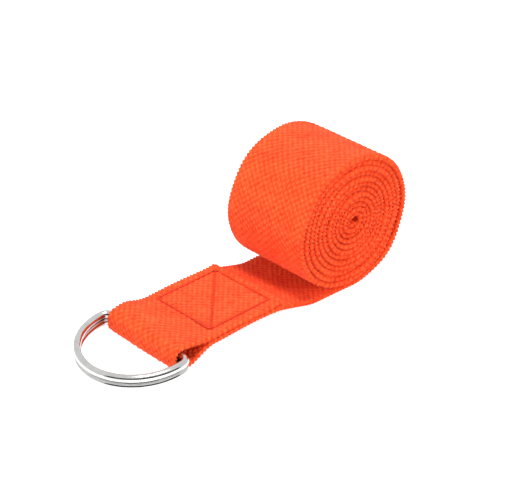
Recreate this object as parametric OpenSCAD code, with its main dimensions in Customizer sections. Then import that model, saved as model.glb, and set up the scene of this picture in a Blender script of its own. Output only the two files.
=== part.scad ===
// Stretching strap: one length of cotton webbing, rolled up from its free end,
// with two D-rings held in a loop that is folded back and box-stitched.
// X runs along the strap with the rings at -X, Y across its width, Z up.
// The origin is on the flat underside, below the middle of the roll.

/* [Webbing] */
// Width of the webbing
webbing_w = 38; // [25:0.5:60]
// Thickness of one layer of webbing
webbing_t = 2.0; // [1.2:0.1:2.6]

/* [Roll] */
// Radius of the outermost half turn
roll_r = 29; // [18:0.5:45]
// Smallest outer radius that the webbing is wound to in the core
core_r = 3.2; // [3:0.1:8]
// Air between one turn and the next
turn_gap = 0.2; // [0.1:0.05:0.6]
// Straight run between half turns, which makes the roll a little oval
oval_run = 2.5; // [1:0.5:6]

/* [Tail] */
// Length that lies flat in front of the middle of the roll
flat_run = 10; // [4:0.5:14]
// Distance from the middle of the roll to the line where the tail flexes
flex_x = 23; // [18:0.5:26]
// Air around the rounded end of the tail at the flex line
flex_clear = 0.25; // [0.15:0.05:0.5]
// Height that the sewn lap is held above the surface
lap_lift = 5; // [2:0.5:6]

/* [Sewn lap] */
// Distance from the middle of the roll to the cut end of the flap
flap_end_x = 37.5; // [30:0.5:39]
// Distance from the middle of the roll to the end seam of the box stitch
seam_x = 40.5; // [39.5:0.5:50]
// Length of the box stitch
box_l = 30.5; // [15:0.5:40]
// Distance of the box stitch from each edge of the webbing
stitch_inset = 4; // [2:0.5:8]
// Length of one stitch
stitch_l = 3; // [2:0.5:5]
// Width of one row of thread
thread_w = 0.6; // [0.4:0.1:1]
// Height that the thread stands above the webbing
thread_h = 0.35; // [0.2:0.05:0.6]
// Length of the back-tack along the front seam
tack_l = 7; // [3:0.5:12]
// Width of the back-tack
tack_w = 2.4; // [1:0.2:4]

/* [D-rings] */
// Diameter of the ring wire
wire_d = 3.2; // [2:0.1:3.8]
// Room between the webbing's edge and the wire on each side
ring_side_play = 2.6; // [1:0.2:5]
// Radius at the centre of the wire where the bar turns into the bow
corner_r = 3.5; // [2.5:0.5:6]
// Length of the bow past the corners, at the centre of the wire
bow_rise = 24; // [15:0.5:30]
// Distance from the box stitch to the centre of the bars
bar_reach = 18; // [16:0.5:35]
// Running clearance between wire and webbing, and between the two bars
bar_clear = 0.1; // [0.05:0.01:0.2]

/* [Hidden] */
$fn = 48;
webbing_color = [0.97, 0.31, 0.14];
thread_color = [0.88, 0.24, 0.10];
metal_color = [0.83, 0.83, 0.82];

pitch = webbing_t + turn_gap;
half_turns = floor((roll_r - core_r) / (pitch / 2)) + 1;

lift_end_x = seam_x;
front_seam_x = seam_x + box_l;
bar_x = front_seam_x + bar_reach;
lap_z = webbing_t / 2 + lap_lift;
flap_z = lap_z + webbing_t;
top_z = flap_z + webbing_t / 2;
under_z = lap_z - webbing_t / 2;

wire_r = wire_d / 2;
lower_bar_z = webbing_t + bar_clear + wire_r;
upper_bar_z = lower_bar_z + wire_d + bar_clear;
loop_r = wire_r + bar_clear + webbing_t / 2;
loop_lead = 1.5;
level_end = 1;
seam_margin = 1.5;

ring_half_w = webbing_w / 2 + ring_side_play + wire_r;
ring_depth = corner_r + bow_rise;
// The lower ring's bow comes down until it lies on the surface.
ring_tilt = asin((lower_bar_z - wire_r) / ring_depth);

stitch_y = webbing_w / 2 - stitch_inset;
curve_steps = 10;
flap_steps = 2;

// Smooth step from 0 to 1
function ease(u) = (1 - cos(180 * min(max(u, 0), 1))) / 2;

// Height of the lower layer's middle at x, and its slope there
function rise_share(x) = (-x - flat_run) / (lift_end_x - flat_run);
function base_z(x) = webbing_t / 2 + lap_lift * ease(rise_share(x));
function base_slope(x) =
    let (u = rise_share(x))
    u <= 0 || u >= 1 ? 0 : -lap_lift * PI / 2 * sin(180 * u) / (lift_end_x - flat_run);

// A point of the lower layer at x, moved by offset at right angles to it
function base_point(x, offset) =
    let (m = base_slope(x), l = sqrt(1 + m * m))
    [x - offset * m / l, base_z(x) + offset / l];

// Evenly spaced values from a to b
function spread(a, b, n) = [for (i = [0:n]) a + (b - a) * i / n];

function reversed(list) = [for (i = [len(list) - 1:-1:0]) list[i]];

// Outline of the part of the base at the x values xs, between two offsets
function base_outline(xs, low, high) =
    concat([for (x = xs) base_point(x, low)], [for (x = reversed(xs)) base_point(x, high)]);

// The x values of the base where the flap lies on it, which both layers share
flap_xs = concat(spread(-flap_end_x, -lift_end_x, flap_steps), [-front_seam_x - seam_margin]);

// Where the loop begins and ends: just past the front seam
loop_start_x = -front_seam_x - seam_margin;

// A point at share u of a run that eases from one height to another between
// two x, moved by offset at right angles to the run
function run_point(x0, z0, x1, z1, u, offset) =
    let (m = (z1 - z0) * PI / 2 * sin(180 * u) / (x1 - x0), l = sqrt(1 + m * m))
    [x0 + (x1 - x0) * u - offset * m / l, z0 + (z1 - z0) * ease(u) + offset / l];

// One face of a run of the loop, from above or below the bars to its level
// end at the front seam
function run_side(bar_side_z, seam_side_z, offset) =
    concat([[-bar_x, bar_side_z + offset]],
           [for (u = spread(0, 1, curve_steps))
               run_point(-bar_x + loop_lead, bar_side_z, loop_start_x - level_end, seam_side_z, u, offset)],
           [[loop_start_x, seam_side_z + offset]]);

// Outline of one of the loop's two runs
function run_outline(bar_side_z, seam_side_z) =
    concat(run_side(bar_side_z, seam_side_z, -webbing_t / 2),
           reversed(run_side(bar_side_z, seam_side_z, webbing_t / 2)));

// Extrudes an X-Z outline across the webbing's width
module across() {
    translate([0, webbing_w / 2, 0])
        rotate([90, 0, 0])
            linear_extrude(height = webbing_w)
                children();
}

// Half turn number k, and the straight run after it
module half_turn(k) {
    on_right = k % 2 == 0;
    r = roll_r - k * pitch / 2;
    middle_z = on_right ? roll_r : roll_r + pitch / 2;
    side = on_right ? 1 : -1;
    run_z = on_right ? middle_z + r - webbing_t : middle_z - r;
    webbing_bend([side * oval_run / 2, middle_z], r - webbing_t, r, on_right ? -90 : 90, 180);
    translate([-oval_run / 2, -webbing_w / 2, run_z])
        cube([oval_run, webbing_w, webbing_t]);
}

module webbing_roll() {
    color(webbing_color)
        for (k = [0:half_turns - 1])
            half_turn(k);
}

// A bend of webbing about an axis across the strap
module webbing_bend(centre, r_in, r_out, start, angle) {
    translate([centre[0], webbing_w / 2, centre[1]])
        rotate([90, 0, 0])
            rotate_extrude(angle = angle, start = start)
                translate([r_in, 0])
                    square([r_out - r_in, webbing_w]);
}

// From under the roll to the flex line, where its end is rounded
module webbing_tail() {
    color(webbing_color) {
        across()
            polygon(base_outline(concat([oval_run / 2], spread(-flat_run, -flex_x, curve_steps)),
                                 -webbing_t / 2, webbing_t / 2));
        webbing_bend([-flex_x, base_z(-flex_x)], 0, webbing_t / 2, 90 + atan(base_slope(-flex_x)), 180);
    }
}

// The lower layer from the flex line to just past the front seam
module webbing_lap() {
    color(webbing_color)
        across()
            difference() {
                polygon(base_outline(concat(spread(-flex_x, -flap_end_x, curve_steps), flap_xs),
                                     -webbing_t / 2, webbing_t / 2));
                translate([-flex_x, base_z(-flex_x)])
                    circle(r = webbing_t / 2 + flex_clear);
            }
}

// The upper layer, from its cut end to just past the front seam
module webbing_flap() {
    color(webbing_color)
        across()
            polygon(base_outline(flap_xs, webbing_t / 2, webbing_t * 3 / 2));
}

// The fold that holds the bars of both rings: a run under them, a bend up,
// a short rise in front of them, a bend back and a run over them
module webbing_loop() {
    r_in = loop_r - webbing_t / 2;
    r_out = loop_r + webbing_t / 2;
    color(webbing_color) {
        across()
            polygon(run_outline(lower_bar_z - loop_r, lap_z));
        webbing_bend([-bar_x, lower_bar_z], r_in, r_out, 180, 90);
        translate([-bar_x - r_out, -webbing_w / 2, lower_bar_z])
            cube([webbing_t, webbing_w, upper_bar_z - lower_bar_z]);
        webbing_bend([-bar_x, upper_bar_z], r_in, r_out, 90, 90);
        across()
            polygon(run_outline(upper_bar_z + loop_r, flap_z));
    }
}

// One row of lockstitch from a to b: the thread that lies on the webbing
// at surface_z, and a leg into the layer at the end of each stitch
module stitch_row(a, b, surface_z, up) {
    span = b - a;
    length = norm(span);
    count = max(round(length / stitch_l), 1);
    translate([a[0], a[1], surface_z])
        rotate([0, 0, atan2(span[1], span[0])]) {
            translate([-thread_w / 2, -thread_w / 2, up ? 0 : -thread_h])
                cube([length + thread_w, thread_w, thread_h]);
            for (i = [0:count])
                translate([length * i / count, 0, up ? -webbing_t : 0])
                    cylinder(d = thread_w * 0.8, h = webbing_t);
        }
}

// The box with its one diagonal, and the back-tack on the front seam
module box_stitch(surface_z, up) {
    end_far = [-seam_x, stitch_y];
    end_near = [-seam_x, -stitch_y];
    front_far = [-front_seam_x, stitch_y];
    front_near = [-front_seam_x, -stitch_y];
    stitch_row(end_far, end_near, surface_z, up);
    stitch_row(end_near, front_near, surface_z, up);
    stitch_row(front_near, front_far, surface_z, up);
    stitch_row(front_far, end_far, surface_z, up);
    stitch_row(end_far, front_near, surface_z, up);
    translate([-front_seam_x - tack_w / 2, -stitch_y - thread_w / 2, up ? surface_z : surface_z - thread_h])
        cube([tack_w, tack_l, thread_h]);
}

module needle_thread() {
    color(thread_color)
        box_stitch(top_z, true);
}

module bobbin_thread() {
    color(thread_color)
        box_stitch(under_z, false);
}

// A quarter circle of ring wire around a centre in the ring's plane
module wire_bend(centre, r, start) {
    translate([centre[0], centre[1], 0])
        rotate_extrude(angle = 90, start = start)
            translate([r, 0])
                circle(d = wire_d);
}

// A straight stretch of ring wire from a point, along a direction in the ring's plane
module wire_run(from, direction, length) {
    if (length > 0)
        translate([from[0], from[1], 0])
            rotate([0, 90, direction])
                cylinder(d = wire_d, h = length);
}

// Flat ring with its bar's middle at the origin and its bow towards -X.
// Two quarter circles carry the bow round. The crown between them is straight,
// and a bow that is longer than half its width has straight limbs as well.
module d_ring() {
    shoulder_r = min(bow_rise, ring_half_w);
    limb_l = bow_rise - shoulder_r;
    crown_half_l = ring_half_w - shoulder_r;
    arch_x = -corner_r - limb_l;
    corner_y = ring_half_w - corner_r;

    wire_run([0, corner_y], -90, 2 * corner_y);
    wire_bend([-corner_r, corner_y], corner_r, 0);
    wire_bend([-corner_r, -corner_y], corner_r, 270);
    wire_run([-corner_r, ring_half_w], 180, limb_l);
    wire_run([-corner_r, -ring_half_w], 180, limb_l);
    wire_bend([arch_x, crown_half_l], shoulder_r, 90);
    wire_bend([arch_x, -crown_half_l], shoulder_r, 180);
    wire_run([arch_x - shoulder_r, crown_half_l], -90, 2 * crown_half_l);
}

// A ring with its bar at height bar_z, tilted until the lower bow lies down
module placed_ring(bar_z) {
    color(metal_color)
        translate([-bar_x, 0, bar_z])
            rotate([0, -ring_tilt, 0])
                d_ring();
}

module d_ring_upper() {
    placed_ring(upper_bar_z);
}

module d_ring_lower() {
    placed_ring(lower_bar_z);
}

webbing_roll();
webbing_tail();
webbing_lap();
webbing_flap();
webbing_loop();
needle_thread();
bobbin_thread();
d_ring_upper();
d_ring_lower();
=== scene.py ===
"""Looks of a rolled stretching strap: cotton webbing with two D-rings in a sewn loop."""
import math

import bpy
import numpy as np
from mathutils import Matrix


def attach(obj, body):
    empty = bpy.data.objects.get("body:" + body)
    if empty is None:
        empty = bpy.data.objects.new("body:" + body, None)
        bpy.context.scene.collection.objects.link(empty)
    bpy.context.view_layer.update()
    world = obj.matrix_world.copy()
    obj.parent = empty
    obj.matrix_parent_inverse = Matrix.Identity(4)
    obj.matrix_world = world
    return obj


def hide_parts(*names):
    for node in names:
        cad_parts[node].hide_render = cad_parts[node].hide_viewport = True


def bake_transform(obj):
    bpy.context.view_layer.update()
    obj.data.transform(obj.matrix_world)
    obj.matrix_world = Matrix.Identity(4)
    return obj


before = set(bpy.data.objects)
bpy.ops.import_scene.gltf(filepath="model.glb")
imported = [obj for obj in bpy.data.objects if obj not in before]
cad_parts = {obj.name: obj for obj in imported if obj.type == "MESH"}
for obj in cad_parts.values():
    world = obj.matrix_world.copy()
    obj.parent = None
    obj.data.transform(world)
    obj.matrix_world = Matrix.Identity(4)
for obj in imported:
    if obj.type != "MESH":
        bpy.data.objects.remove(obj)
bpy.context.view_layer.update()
MM = 0.001

# ---------------------------------------------------------------------------
# The camera and the studio.
# A long lens looks down on the strap from beside the rings. The floor and the
# world show as plain white, and the floor keeps the strap's soft shadow.
camera_azimuth = math.radians(-43.93)
camera_elevation = math.radians(30.64)
camera_distance = 731.1 * MM
camera_target = np.array([-32.3, 0.0, 20.1]) * MM
strap_middle = (-0.03, 0, 0.02)
room_light = 0.30
floor_grey = 0.86
floor_glow = 0.80
floor_half = 3.0
floor_z = -0.4 * MM

aim = np.array([
    math.sin(camera_azimuth) * math.cos(camera_elevation),
    -math.cos(camera_azimuth) * math.cos(camera_elevation),
    math.sin(camera_elevation),
])
camera_data = bpy.data.cameras.new("camera")
camera_data.sensor_width = 36
camera_data.lens = 131.76
camera_data.clip_start = 0.01
camera = bpy.data.objects.new("camera", camera_data)
bpy.context.scene.collection.objects.link(camera)
camera.location = camera_target + camera_distance * aim
camera.rotation_euler = (math.pi / 2 - camera_elevation, 0, camera_azimuth)
bpy.context.scene.camera = camera
bpy.context.scene.view_settings.view_transform = "Standard"


def white_rays(tree):
    """One for the rays that meet plain white: the camera's, polished metal's and glass's."""
    path = tree.nodes.new("ShaderNodeLightPath")
    mirrored = tree.nodes.new("ShaderNodeMath")
    mirrored.operation = "MAXIMUM"
    tree.links.new(path.outputs["Is Glossy Ray"], mirrored.inputs[0])
    tree.links.new(path.outputs["Is Transmission Ray"], mirrored.inputs[1])
    either = tree.nodes.new("ShaderNodeMath")
    either.operation = "MAXIMUM"
    tree.links.new(path.outputs["Is Camera Ray"], either.inputs[0])
    tree.links.new(mirrored.outputs[0], either.inputs[1])
    return either.outputs[0]


world = bpy.data.worlds.new("studio")
bpy.context.scene.world = world
world.use_nodes = True
tree = world.node_tree
tree.nodes.clear()
room = tree.nodes.new("ShaderNodeBackground")
room.inputs["Color"].default_value = (1, 1, 1, 1)
room.inputs["Strength"].default_value = room_light
white = tree.nodes.new("ShaderNodeBackground")
white.inputs["Color"].default_value = (1, 1, 1, 1)
white.inputs["Strength"].default_value = 1.0
pick = tree.nodes.new("ShaderNodeMixShader")
world_out = tree.nodes.new("ShaderNodeOutputWorld")
tree.links.new(white_rays(tree), pick.inputs[0])
tree.links.new(room.outputs[0], pick.inputs[1])
tree.links.new(white.outputs[0], pick.inputs[2])
tree.links.new(pick.outputs[0], world_out.inputs["Surface"])

floor_mesh = bpy.data.meshes.new("floor")
floor_mesh.from_pydata(
    [(-floor_half, -floor_half, floor_z), (floor_half, -floor_half, floor_z),
     (floor_half, floor_half, floor_z), (-floor_half, floor_half, floor_z)], [], [(0, 1, 2, 3)])
floor = bpy.data.objects.new("floor", floor_mesh)
bpy.context.scene.collection.objects.link(floor)
floor_paint = bpy.data.materials.new("floor_paint")
floor_paint.use_nodes = True
tree = floor_paint.node_tree
tree.nodes.clear()
paper = tree.nodes.new("ShaderNodeBsdfDiffuse")
paper.inputs["Color"].default_value = (floor_grey, floor_grey, floor_grey, 1)
glow = tree.nodes.new("ShaderNodeEmission")
glow.inputs["Color"].default_value = (1, 1, 1, 1)
glow.inputs["Strength"].default_value = floor_glow
lit_paper = tree.nodes.new("ShaderNodeAddShader")
tree.links.new(paper.outputs[0], lit_paper.inputs[0])
tree.links.new(glow.outputs[0], lit_paper.inputs[1])
floor_pick = tree.nodes.new("ShaderNodeMixShader")
floor_out = tree.nodes.new("ShaderNodeOutputMaterial")
tree.links.new(white_rays(tree), floor_pick.inputs[0])
tree.links.new(paper.outputs[0], floor_pick.inputs[1])
tree.links.new(lit_paper.outputs[0], floor_pick.inputs[2])
tree.links.new(floor_pick.outputs[0], floor_out.inputs["Surface"])
floor.data.materials.append(floor_paint)


def softbox(name, position, size, power):
    """A square lamp at a position, turned to face the middle of the strap."""
    data = bpy.data.lights.new(name, "AREA")
    data.shape = "SQUARE"
    data.size = size
    data.energy = power
    lamp = bpy.data.objects.new(name, data)
    bpy.context.scene.collection.objects.link(lamp)
    lamp.location = position
    direction = np.array(strap_middle) - np.array(position)
    lamp.rotation_euler[0] = math.acos(-direction[2] / np.linalg.norm(direction))
    lamp.rotation_euler[2] = math.atan2(direction[1], direction[0]) - math.pi / 2
    return lamp


# The two low lamps are kept out of polished metal, which they would turn plain white
softbox("key", (-0.12, -0.12, 1.0), size=0.35, power=7.6)
softbox("left", (-0.95, -0.10, 0.40), size=0.45, power=5.6).visible_glossy = False
softbox("front", (0.30, -1.0, 0.45), size=0.45, power=6.0).visible_glossy = False


def dark_wall(radius, low, high):
    """A black cloth hung in an arc on the camera's side of the table.

    Only polished metal shows it, as a dark streak. Its two edges are a circle's
    cosine and sine at two heights.
    """
    columns = 96
    turn = np.linspace(math.radians(170), math.radians(290), columns)
    arc = np.stack([np.cos(turn), np.sin(turn)], axis=-1) * radius
    points = np.concatenate([
        np.column_stack([arc, np.full(columns, low)]),
        np.column_stack([arc, np.full(columns, high)])])
    here = np.arange(columns)
    after = np.roll(here, -1)
    faces = np.column_stack([here, after, after + columns, here + columns])[:-1]
    mesh = bpy.data.meshes.new("dark_wall")
    mesh.from_pydata(points.tolist(), [], faces.tolist())
    wall = bpy.data.objects.new("dark_wall", mesh)
    bpy.context.scene.collection.objects.link(wall)
    cloth = bpy.data.materials.new("black_cloth")
    cloth.use_nodes = True
    shader = cloth.node_tree.nodes["Principled BSDF"]
    shader.inputs["Base Color"].default_value = (0.02, 0.02, 0.02, 1)
    shader.inputs["Roughness"].default_value = 1.0
    mesh.materials.append(cloth)
    wall.visible_camera = False
    wall.visible_diffuse = False
    wall.visible_shadow = False
    wall.visible_transmission = False


dark_wall(radius=1.4, low=0.02, high=0.95)

# ---------------------------------------------------------------------------
# Helpers for shapes. Lengths are in millimetres, and a surface's points become
# metres as they are put together.


def ease(u):
    """Smooth step: half a cosine wave from 0 to 1."""
    return (1 - np.cos(np.pi * np.clip(u, 0, 1))) / 2


def bell(x, middle, spread):
    """A smooth bump: one at its middle, falling as exp(-d * d) at d spreads from it."""
    return np.exp(-((x - middle) / spread) ** 2)


def measured(x, y):
    """How far along a line each of its points lies, with the points, without repeated ones."""
    step = np.hypot(np.diff(x), np.diff(y))
    keep = np.concatenate([[True], step > 1e-6])
    x, y = x[keep], y[keep]
    s = np.concatenate([[0], np.cumsum(np.hypot(np.diff(x), np.diff(y)))])
    return s, x, y


def skin(name, points, faces, material):
    """A smooth-shaded object from rows of points in metres and lists of corners."""
    mesh = bpy.data.meshes.new(name)
    mesh.from_pydata(points.tolist(), [], faces)
    mesh.polygons.foreach_set("use_smooth", np.ones(len(mesh.polygons), bool))
    mesh.materials.append(material)
    piece = bpy.data.objects.new(name, mesh)
    bpy.context.scene.collection.objects.link(piece)
    return piece


def turn_outwards(mesh, points, quads):
    """Flips the faces if the volume inside them, as a sum over both halves, is negative."""
    a, b, c, d = (points[quads[:, corner]] for corner in range(4))
    volume = np.einsum("ij,ij->i", a, np.cross(b, c)).sum()
    volume += np.einsum("ij,ij->i", a, np.cross(c, d)).sum()
    if volume < 0:
        mesh.flip_normals()


# ---------------------------------------------------------------------------
# Helpers for materials


def new_material(name):
    """A material, with its tree, its shader and the object's own coordinates."""
    material = bpy.data.materials.new(name)
    material.use_nodes = True
    tree = material.node_tree
    coordinates = tree.nodes.new("ShaderNodeTexCoord")
    return material, tree, tree.nodes["Principled BSDF"], coordinates.outputs["Object"]


def value(tree, operation, first, second=None):
    """A math node on two sockets or numbers."""
    node = tree.nodes.new("ShaderNodeMath")
    node.operation = operation
    for slot, given in enumerate((first, second)):
        if given is None:
            continue
        if isinstance(given, (int, float)):
            node.inputs[slot].default_value = given
        else:
            tree.links.new(given, node.inputs[slot])
    return node.outputs[0]


def weighted(tree, parts):
    """The sum of sockets, each times its own number."""
    total = None
    for socket, weight in parts:
        part = value(tree, "MULTIPLY", socket, weight)
        total = part if total is None else value(tree, "ADD", total, part)
    return total


def noise(tree, vector, scale, detail, rough):
    """A noise texture's value on a vector."""
    node = tree.nodes.new("ShaderNodeTexNoise")
    node.inputs["Scale"].default_value = scale
    node.inputs["Detail"].default_value = detail
    node.inputs["Roughness"].default_value = rough
    tree.links.new(vector, node.inputs["Vector"])
    return node.outputs["Fac"]


def colour_by(tree, shader, factor, stops):
    """Colours the shader by a ramp with stops of (position, colour)."""
    node = tree.nodes.new("ShaderNodeValToRGB")
    while len(node.color_ramp.elements) < len(stops):
        node.color_ramp.elements.new(0.5)
    for element, (position, colour) in zip(node.color_ramp.elements, stops):
        element.position = position
        element.color = (*colour, 1)
    tree.links.new(factor, node.inputs[0])
    tree.links.new(node.outputs["Color"], shader.inputs["Base Color"])


def bump_by(tree, shader, height, strength, depth):
    """Bends the shader's normal by a height texture that is depth millimetres deep."""
    bump = tree.nodes.new("ShaderNodeBump")
    bump.inputs["Strength"].default_value = strength
    bump.inputs["Distance"].default_value = depth * MM
    tree.links.new(height, bump.inputs["Height"])
    tree.links.new(bump.outputs[0], shader.inputs["Normal"])


# ---------------------------------------------------------------------------
# The strap's line: one length of webbing, 38 mm wide and 1.3 m long.
# From its free end in the core it winds up into the roll, leaves it underneath
# as the tail, rises to the lap, goes under and round both ring bars and comes
# back over itself as the flap. The strap points towards -X, so the places of
# the seams and bars below are distances from under the roll's middle.
width = 38.0
thick = 2.0
half_t = thick / 2
turns = 12
core_radius = 2.5
roll_half_x = 29.8
roll_half_z = 28.0
roll_middle_z = 29.0
flat_run = 18.0
lap_lift = 5.0
flap_end_x = 37.5
seam_x = 40.5
front_seam_x = 71.0
stitch_inset = 4.0
bar_x = 89.0
lower_bar_z = 3.7
upper_bar_z = 7.0
bar_loop_radius = 2.7
loop_under_z = 1.0
loop_over_z = 9.7
joint_gap = 1.5
path_step = 0.1


def spiral_path(count):
    """The winding's middle line in X-Z, from the core outwards.

    The radius grows with the angle, a little faster in the loose outer turns,
    and a slow sine makes it uneven. The core is a flat fold, so its first turns
    are squeezed in Z and tilted. The angle ends pointing down, where the tail
    leaves.
    """
    share = np.linspace(0, 1, count)
    angle = -math.pi / 2 + 2 * math.pi * turns * (1 - share)
    radius = core_radius + (roll_half_x - core_radius) * (0.86 * share + 0.14 * share ** 2)
    radius = radius + 0.16 * np.sin(1.06 * angle + 0.6) * np.sin(math.pi * share) ** 0.5
    squeeze = 1 - 0.52 * np.exp(-share * 12) - (1 - roll_half_z / roll_half_x) * share
    tilt = math.radians(25) * np.exp(-share * 9)
    x = radius * np.cos(angle)
    z = radius * np.sin(angle) * squeeze
    middle_x = 0.5 * (1 - share) - 1.1 * share * ease((1 - share) * turns * 1.5)
    middle_z = roll_middle_z + 0.4 * (1 - share)
    return (middle_x + x * np.cos(tilt) - z * np.sin(tilt),
            middle_z + x * np.sin(tilt) + z * np.cos(tilt))


def lap_height(x):
    """Height of the lower layer's middle at distance x from under the roll's middle."""
    return half_t + lap_lift * ease((x - flat_run) / (seam_x - flat_run))


def strap_path():
    """The whole middle line in even steps: distance along it, X and Z.

    Its runs are the winding, the tail and lap, the way under the bars, two
    quarter circles round them, the way back over them and the flap. A moving
    average rounds their joints.
    """
    wind_x, wind_z = spiral_path(6000)
    wind_z = wind_z + (half_t - wind_z[-1]) * np.linspace(0, 1, len(wind_z)) ** 8
    tail_x = np.linspace(0, front_seam_x + joint_gap, 400)[1:]
    tail_z = lap_height(tail_x)
    u = np.linspace(0, 1, 120)[1:]
    run = bar_x - front_seam_x - 2 * joint_gap
    lap_z = lap_lift + half_t
    under_x = front_seam_x + joint_gap + u * run
    under_z = lap_z + (loop_under_z - lap_z) * ease(u)
    a = np.linspace(0, math.pi / 2, 40)
    first_x = bar_x + bar_loop_radius * np.sin(a)
    first_z = lower_bar_z - bar_loop_radius * np.cos(a)
    second_x = bar_x + bar_loop_radius * np.cos(a)
    second_z = upper_bar_z + bar_loop_radius * np.sin(a)
    over_x = bar_x - joint_gap - u * run
    over_z = loop_over_z + (lap_z + thick - loop_over_z) * ease(u)
    flap_x = np.linspace(front_seam_x + joint_gap, flap_end_x, 200)[1:]
    flap_z = lap_height(flap_x) + thick
    s, x, z = measured(
        np.concatenate([wind_x, -tail_x, -under_x, -first_x, -second_x, -over_x, -flap_x]),
        np.concatenate([wind_z, tail_z, under_z, first_z, second_z, over_z, flap_z]))
    even = np.linspace(0, s[-1], int(s[-1] / path_step) + 1)
    x, z = np.interp(even, s, x), np.interp(even, s, z)
    window = np.ones(9) / 9
    x[4:-4] = np.convolve(x, window, "valid")
    z[4:-4] = np.convolve(z, window, "valid")
    return even, x, z


path_s, path_x, path_z = strap_path()
strap_length = path_s[-1]
tangent = np.stack([np.gradient(path_x), np.gradient(path_z)])
tangent /= np.linalg.norm(tangent, axis=0)

# The strap leaves the roll at the last place where its line is low and right under the middle
under_roll = (path_z < half_t + 0.6) & (np.abs(path_x) < 0.3)
leave_s = path_s[np.where(under_roll)[0][-1]]

# The box stitch, as a rectangle and one diagonal, each line from one corner to another
stitch_y = width / 2 - stitch_inset
box_lines = [
    ((seam_x, stitch_y), (seam_x, -stitch_y)),
    ((seam_x, -stitch_y), (front_seam_x, -stitch_y)),
    ((front_seam_x, -stitch_y), (front_seam_x, stitch_y)),
    ((front_seam_x, stitch_y), (seam_x, stitch_y)),
    ((seam_x, stitch_y), (front_seam_x, -stitch_y)),
]

# ---------------------------------------------------------------------------
# The webbing's surface: plain-woven cotton with a rope of yarn at each selvedge.
# It is wider where nothing holds it flat, and wanders a little sideways. Places
# across it are shares of its half width, so 1 is the selvedge's edge.
station_step = 0.42
weave_along = 2.7
weave_depth = 0.34
yarn_pitch = 1.42
yarn_roundness = 0.6
rope_pitch = 1.65
rope_width = 0.30
rope_height = 0.13
rope_slant = 0.34
rope_from = 0.91
rope_blend = 0.08
rounded_from = 0.945
edge_thickness = 0.16
selvedge_extra = 0.3
slack_extra = 1.1
bulge_extra = 0.7
drift = 0.3
drift_start = 12
drift_run = 66
seam_depth = 0.5
seam_spread = 1.0
cut_end_puff = 0.35
under_bar_lift = 0.7
over_bar_lift = 1.0
turn_overlap = 12


def seam_dip(x, y):
    """How deep the box stitch pulls the webbing in: a narrow bell across each line."""
    dip = np.zeros(np.broadcast(x, y).shape)
    for a, b in box_lines:
        a, b = np.array(a), np.array(b)
        run = b - a
        along = np.clip(((-x - a[0]) * run[0] + (y - a[1]) * run[1]) / (run @ run), 0, 1)
        away = np.hypot(-x - a[0] - along * run[0], y - a[1] - along * run[1])
        dip = np.maximum(dip, bell(away, 0, seam_spread))
    return dip


def sideways_drift(x):
    """How far the sewn end has drifted sideways at x, growing from the roll to the rings."""
    return drift * ease((-x - drift_start) / drift_run)


def across(count):
    """Places across the webbing from -1 to 1: count even ones, and four near each selvedge."""
    edge = 1 - np.array([0, 0.012, 0.03, 0.055])
    return np.concatenate([-edge, np.linspace(-0.93, 0.93, count), edge[::-1]])


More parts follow.
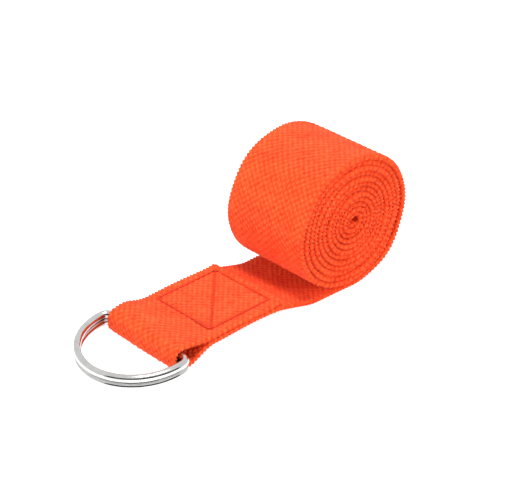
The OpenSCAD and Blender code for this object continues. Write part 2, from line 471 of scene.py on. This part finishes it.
def webbing_surface(stations, share, side):
    """The surface's points and its flat pattern, in metres, with a row for each station.

    stations are distances along the strap, share runs from -1 to 1 across it, and
    side is 1 on the outer face and -1 on the inner one. Each point is the middle
    line, plus y across, plus half the thickness along the normal. The weave is one
    rounded ridge for each yarn, which a sine along the strap lifts and sinks, with
    neighbours half a wave apart. The ropes are a cosine that slants with height.
    """
    s = stations[:, None]
    x_middle = np.interp(stations, path_s, path_x)[:, None] + 0 * share
    z_middle = np.interp(stations, path_s, path_z)[:, None]
    tx = np.interp(stations, path_s, tangent[0])[:, None]
    tz = np.interp(stations, path_s, tangent[1])[:, None]
    length = np.hypot(tx, tz)
    tx, tz = tx / length, tz / length

    # Width and sideways place
    on_roll = 1 - ease((s - leave_s + 8) / 12)
    wound = np.clip(s / leave_s, 0, 1)
    turn = wound * turns
    slack = 1 - ease((s - leave_s) / 50)
    bulge = bell(s, leave_s + 35, 6) * (share < 0)
    half_w = width / 2 + selvedge_extra + slack_extra * slack + bulge_extra * bulge
    wander = -0.45 + 0.24 * np.sin(2.1 * turn + 0.4)
    wander = wander + 0.30 * np.sin(s / 8.7 + 1.0) + 0.20 * np.sin(s / 3.9)
    shift = on_roll * wander + (1 - on_roll) * 0.22 * np.sin(s / 6.1)
    shift = shift + sideways_drift(x_middle) * (s > leave_s - 8)

    # Thickness: less in the tight core and round the bars, rounded off at the selvedges
    edge = ease((np.abs(share) - rope_from) / rope_blend)
    beyond = np.clip(np.abs(share) - rounded_from, 0, 1) / (1 - rounded_from)
    round_off = np.sqrt(np.clip(1 - beyond ** 2, 0, 1))
    thin = 1 - on_roll * (0.05 - 0.30 * wound)
    thin = thin * (1 - 0.25 * bell(x_middle, -bar_x - 2.2, 2.4))
    height = side * half_t * thin * (edge_thickness + (1 - edge_thickness) * round_off)

    # Selvedge ropes, and the weave with yarns that sway and differ in height
    rope_wave = s / rope_pitch + rope_slant * height * np.sign(share) + 0.5 * (share > 0)
    rope = np.cos(2 * math.pi * rope_wave)
    y = share * half_w + shift + np.sign(share) * edge * rope_width * rope
    sway = s + 0.30 * np.sin(share * 9.1 + s / 5.3) + 0.22 * np.sin(share * 23.0 - s / 2.9)
    lean = share * half_w + 0.20 * np.sin(s / 2.3 + share * 4.0) + 0.14 * np.sin(s / 1.1)
    yarn = np.sin(math.pi * lean / yarn_pitch)
    over = np.sin(2 * math.pi * sway / weave_along) * np.sign(yarn)
    weave = np.abs(yarn) ** yarn_roundness * (0.5 + 0.6 * over) - 0.45
    uneven = 1 + 0.35 * np.sin(share * 17 + s * 0.61) * np.sin(share * 5 - s * 0.37)
    raised = side * (1 - edge) * weave_depth * weave * uneven + side * edge * rope_height * rope

    # Seams press the outer face in, the cut end puffs up, and the fold's far side rises
    sewn = (side > 0) & (s > leave_s + 20)
    dip = np.where(sewn, seam_dip(x_middle, y - sideways_drift(x_middle)), 0)
    puff = cut_end_puff * bell(s, strap_length - 1.4, 1.3) * (side > 0)
    lift = height + raised * (1 - 0.7 * dip) - seam_depth * dip + puff
    far_side = ease((share + 0.2) / 1.2)
    under_bar = bell(x_middle, -bar_x - 2.4, 2.2) * ease((5 - z_middle) / 3)
    over_bar = bell(x_middle, -bar_x + 5, 5) * ease((z_middle - 5) / 4)
    fold_rise = far_side * (under_bar_lift * under_bar + over_bar_lift * over_bar)
    x = x_middle - tz * lift
    z = z_middle + tx * lift + fold_rise
    points = np.stack([x, y + 0 * x, z], axis=-1) * MM
    flat = np.stack([s + 0 * x, share * half_w + 0 * x], axis=-1) * MM
    return points, flat


def webbing(name, start, stop, outer_count, inner_count):
    """A stretch of the strap as a closed skin, from distance start to stop along it."""
    stations = np.linspace(start, stop, int(round((stop - start) / station_step)) + 1)
    outer = across(outer_count)
    inner = across(inner_count)[::-1]
    share = np.concatenate([outer, inner])[None, :]
    side = np.concatenate([np.ones(len(outer)), -np.ones(len(inner))])[None, :]
    points, flat = webbing_surface(stations, share, side)
    rows, columns = points.shape[:2]
    points, flat = points.reshape(-1, 3), flat.reshape(-1, 2)
    index = np.arange(rows * columns).reshape(rows, columns)
    after = np.roll(index, -1, axis=1)
    quads = np.stack([index[:-1], after[:-1], after[1:], index[1:]], axis=-1).reshape(-1, 4)
    caps = [index[0][::-1].tolist(), index[-1].tolist()]
    piece = skin(name, points, quads.tolist() + caps, cotton)
    mesh = piece.data
    layer = mesh.uv_layers.new(name="weave")
    vertex = np.zeros(len(mesh.loops), np.int32)
    mesh.loops.foreach_get("vertex_index", vertex)
    layer.data.foreach_set("uv", flat[vertex].ravel())
    turn_outwards(mesh, points, quads)
    return piece


# The cotton: the weave's relief follows the flat pattern, and its colour is painted
# darker where that relief is low, between the yarns and where they dip under, as
# painted shade in the weave's hollows. Fine fibres slant across each yarn, and noises
# of three sizes keep it from being even.
fibre_pitch_along = 0.55
fibre_pitch_across = 0.8
cotton, tree, shader, in_object = new_material("orange_cotton_webbing")
pattern = tree.nodes.new("ShaderNodeUVMap")
pattern.uv_map = "weave"
spot = tree.nodes.new("ShaderNodeSeparateXYZ")
tree.links.new(pattern.outputs[0], spot.inputs[0])
lengthwise, crosswise = spot.outputs["X"], spot.outputs["Y"]
wave = value(tree, "SINE", value(
    tree, "MULTIPLY", lengthwise, 2 * math.pi / (weave_along * MM)))
yarn = value(tree, "SINE", value(
    tree, "MULTIPLY", crosswise, math.pi / (yarn_pitch * MM)))
ridge = value(tree, "POWER", value(tree, "ABSOLUTE", yarn), yarn_roundness)
over = value(tree, "MULTIPLY", wave, value(tree, "SIGN", yarn))
# Painted shade: this weave height is low where the yarns part and dip under, and it colours
# those hollows darker; it also bends the normal
weave_relief_and_shade = value(
    tree, "MULTIPLY", ridge, value(tree, "ADD", value(tree, "MULTIPLY", over, 0.5), 0.5))
twist = value(tree, "SINE", weighted(tree, [
    (lengthwise, 2 * math.pi / (fibre_pitch_along * MM)),
    (crosswise, 2 * math.pi / (fibre_pitch_across * MM))]))
fibres = noise(tree, in_object, scale=2600, detail=3, rough=0.6)
blotches = noise(tree, in_object, scale=90, detail=3, rough=0.55)
cells = noise(tree, in_object, scale=620, detail=1, rough=0.5)
# The colour mixes painted shade in the weave's hollows with random tone from the noises
tone_and_weave_shade = weighted(tree, [
    (weave_relief_and_shade, 0.26), (fibres, 0.30), (cells, 0.42), (blotches, 0.20), (twist, 0.035)])
colour_by(tree, shader, tone_and_weave_shade, [
    (0.30, (0.62, 0.021, 0.003)),
    (0.52, (0.89, 0.068, 0.012)),
    (0.82, (0.96, 0.136, 0.034))])
shader.inputs["Roughness"].default_value = 0.86
shader.inputs["Specular IOR Level"].default_value = 0.22
shader.inputs["Sheen Weight"].default_value = 0.22
shader.inputs["Sheen Roughness"].default_value = 0.5
shader.inputs["Sheen Tint"].default_value = (1, 0.55, 0.4, 1)
relief = weighted(tree, [(fibres, 0.55), (twist, 0.2), (weave_relief_and_shade, 0.9)])
bump_by(tree, shader, relief, strength=0.75, depth=0.12)

# The outermost turn shows its face, so it has fine columns there. The winding
# inside it shows only its selvedges.
outer_turn = 2 * math.pi * roll_half_z + turn_overlap
inner_winding = webbing("webbing_winding", 0, leave_s - outer_turn, 5, 5)
outer_winding = webbing("webbing_outer_turn", leave_s - outer_turn, leave_s, 92, 12)
sewn_webbing = webbing("webbing_sewn_end", leave_s, strap_length, 92, 92)
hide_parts("webbing_roll")
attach(inner_winding, "roll")
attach(outer_winding, "roll")
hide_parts("webbing_tail", "webbing_lap", "webbing_flap", "webbing_loop")
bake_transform(sewn_webbing)

# ---------------------------------------------------------------------------
# The box stitch: polyester thread in a lockstitch, orange like the webbing.
# Needle thread lies on the flap and bobbin thread under the lap, each stitch a
# short length that dips into the webbing at both ends. A back-tack ends it.
thread_radius = 0.36
thread_sides = 8
stitch_stations = 9
stitch_pitch = 2.7
stitch_gap = 0.10
stitch_sunk = 0.12
stitch_dive = 0.55
tack_stitches = 15
tack_length = 7.0
tack_half = 1.1
tack_slant = 0.5
tack_height = 0.42

thread, tree, shader, in_object = new_material("orange_thread")
ply = tree.nodes.new("ShaderNodeTexWave")
ply.bands_direction = "DIAGONAL"
ply.inputs["Scale"].default_value = 900
ply.inputs["Distortion"].default_value = 1.5
tree.links.new(in_object, ply.inputs["Vector"])
colour_by(tree, shader, ply.outputs["Fac"], [
    (0.2, (0.52, 0.026, 0.004)), (0.8, (0.72, 0.050, 0.009))])
shader.inputs["Roughness"].default_value = 0.6
bump_by(tree, shader, ply.outputs["Fac"], strength=0.6, depth=0.08)


def stitch_ends():
    """Both ends of every stitch on the face: the box's five lines, then the back-tack."""
    lines = list(box_lines)
    for k, t in enumerate(np.linspace(0, tack_length, tack_stitches)):
        swing = tack_half * (-1) ** k
        lines.append(((front_seam_x - swing, -stitch_y + t),
                      (front_seam_x + swing, -stitch_y + t + tack_slant)))
    starts, ends = [], []
    for a, b in lines:
        a, b = np.array(a), np.array(b)
        count = max(int(round(np.linalg.norm(b - a) / stitch_pitch)), 1)
        corners = a + (b - a) * np.linspace(0, 1, count + 1)[:, None]
        starts.append(corners[:-1])
        ends.append(corners[1:])
    return np.concatenate(starts), np.concatenate(ends)


def stitches(name, face_z, up, body, node):
    """The stitches on one face, each a tube along a shallow arch.

    Its height falls with the fourth power of the distance from its middle, and
    the thread narrows with the sixth. The back-tack is heaped on the seam.
    """
    starts, ends = stitch_ends()
    run = ends - starts
    middle = (starts + ends) / 2
    direction = run / np.linalg.norm(run, axis=1, keepdims=True)
    u = np.linspace(-1, 1, stitch_stations)
    ring = np.linspace(0, 2 * math.pi, thread_sides, endpoint=False)
    half = np.linalg.norm(run, axis=1)[:, None] / 2 - stitch_gap
    heap = np.zeros(len(run))
    heap[-tack_stitches:] = tack_height
    arch = face_z + up * (-stitch_sunk - stitch_dive * np.abs(u) ** 4) + up * heap[:, None]
    radius = thread_radius * (1 - 0.35 * np.abs(u) ** 6)
    px = -(middle[:, 0, None] + direction[:, 0, None] * half * u)
    py = middle[:, 1, None] + direction[:, 1, None] * half * u
    side_x, side_y = direction[:, 1], direction[:, 0]
    sideways = radius[None, :, None] * np.cos(ring)
    x = px[:, :, None] + side_x[:, None, None] * sideways
    y = py[:, :, None] + side_y[:, None, None] * sideways
    z = arch[:, :, None] + radius[None, :, None] * np.sin(ring)
    y = y + sideways_drift(x)
    points = np.stack([x, y, z], axis=-1).reshape(-1, 3) * MM
    index = np.arange(x.size).reshape(x.shape)
    after = np.roll(index, -1, axis=2)
    quads = np.stack([index[:, :-1], index[:, 1:], after[:, 1:], after[:, :-1]], axis=-1)
    caps = np.concatenate([index[:, 0, ::-1], index[:, -1]])
    piece = skin(name, points, quads.reshape(-1, 4).tolist() + caps.tolist(), thread)
    bpy.context.view_layer.objects.active = piece
    piece.select_set(True)
    bpy.ops.object.mode_set(mode="EDIT")
    bpy.ops.mesh.select_all(action="SELECT")
    bpy.ops.mesh.normals_make_consistent(inside=False)
    bpy.ops.object.mode_set(mode="OBJECT")
    piece.select_set(False)
    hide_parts(node)
    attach(piece, body)
    return piece


stitches("needle_stitches", lap_lift + half_t + thick + half_t, 1, "sewn_end", "needle_thread")
stitches("bobbin_stitches", lap_lift, -1, "sewn_end", "bobbin_thread")

# ---------------------------------------------------------------------------
# The two D-rings: 3.2 mm steel wire bent round and butt-welded in the straight
# bar, then chromed. They lie on each other with both bars in the webbing's fold,
# tilted so that the lower one's bow rests on the table.
wire_radius = 1.6
wire_sides = 28
ring_stations = 320
ring_half_width = 23.2
corner_radius = 3.5
limb = 0.8
bow_length = 23.2
weld_swell = 0.05
weld_spread = 0.7
smoothing_rounds = 14
ring_tilt = math.asin((lower_bar_z - wire_radius) / (corner_radius + limb + bow_length))

chrome, tree, shader, in_object = new_material("polished_chrome")
haze = noise(tree, in_object, scale=260, detail=3, rough=0.6)
colour_by(tree, shader, haze, [(0.3, (0.54, 0.54, 0.535)), (0.7, (0.62, 0.62, 0.61))])
shader.inputs["Metallic"].default_value = 1.0
polish = tree.nodes.new("ShaderNodeMapRange")
polish.inputs["To Min"].default_value = 0.10
polish.inputs["To Max"].default_value = 0.20
tree.links.new(haze, polish.inputs["Value"])
tree.links.new(polish.outputs[0], shader.inputs["Roughness"])
scratches = noise(tree, in_object, scale=1500, detail=2, rough=0.5)
bump_by(tree, shader, scratches, strength=0.08, depth=0.02)


def ring_line(count):
    """The wire's middle line, in even steps and smoothed, with the bar on x = 0.

    One half is half of the bar, a tight corner, a short limb and a quarter circle
    of the bow. The other half mirrors it.
    """
    quarter = np.linspace(0, math.pi / 2, 40)
    corner_y = ring_half_width - corner_radius
    half_x = np.concatenate([
        np.zeros(40),
        -corner_radius + corner_radius * np.cos(quarter),
        -corner_radius - limb - bow_length * np.sin(quarter)])
    half_y = np.concatenate([
        np.linspace(0, corner_y, 40),
        corner_y + corner_radius * np.sin(quarter),
        bow_length * np.cos(quarter)])
    s, x, y = measured(
        np.concatenate([half_x, half_x[::-1]]), np.concatenate([half_y, -half_y[::-1]]))
    even = np.linspace(0, s[-1], count, endpoint=False)
    x, y = np.interp(even, s, x), np.interp(even, s, y)
    for _ in range(smoothing_rounds):
        x = 0.25 * np.roll(x, 1) + 0.5 * x + 0.25 * np.roll(x, -1)
        y = 0.25 * np.roll(y, 1) + 0.5 * y + 0.25 * np.roll(y, -1)
    return x, y


def d_ring(name, bar_z, body, node):
    """A tube round the middle line: cosine sideways and sine up, swollen at the weld."""
    x, y = ring_line(ring_stations)
    tx, ty = np.roll(x, -1) - np.roll(x, 1), np.roll(y, -1) - np.roll(y, 1)
    length = np.hypot(tx, ty)
    nx, ny = ty / length, -tx / length
    ring = np.linspace(0, 2 * math.pi, wire_sides, endpoint=False)
    weld = 1 + weld_swell * bell(y, 0, weld_spread) * (x > -1)
    radius = (wire_radius * weld)[:, None]
    px = x[:, None] + nx[:, None] * radius * np.cos(ring)
    py = y[:, None] + ny[:, None] * radius * np.cos(ring)
    pz = radius * np.sin(ring)
    points = np.stack([
        -bar_x + px * math.cos(ring_tilt) - pz * math.sin(ring_tilt),
        py + drift,
        bar_z + px * math.sin(ring_tilt) + pz * math.cos(ring_tilt)], axis=-1) * MM
    points = points.reshape(-1, 3)
    index = np.arange(px.size).reshape(px.shape)
    after = np.roll(index, -1, axis=1)
    quads = np.stack([
        index, after, np.roll(after, -1, axis=0), np.roll(index, -1, axis=0)], axis=-1)
    quads = quads.reshape(-1, 4)
    piece = skin(name, points, quads.tolist(), chrome)
    turn_outwards(piece.data, points, quads)
    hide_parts(node)
    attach(piece, body)
    return piece


d_ring("chromed_ring_upper", upper_bar_z, "upper_ring", "d_ring_upper")
d_ring("chromed_ring_lower", lower_bar_z, "lower_ring", "d_ring_lower")
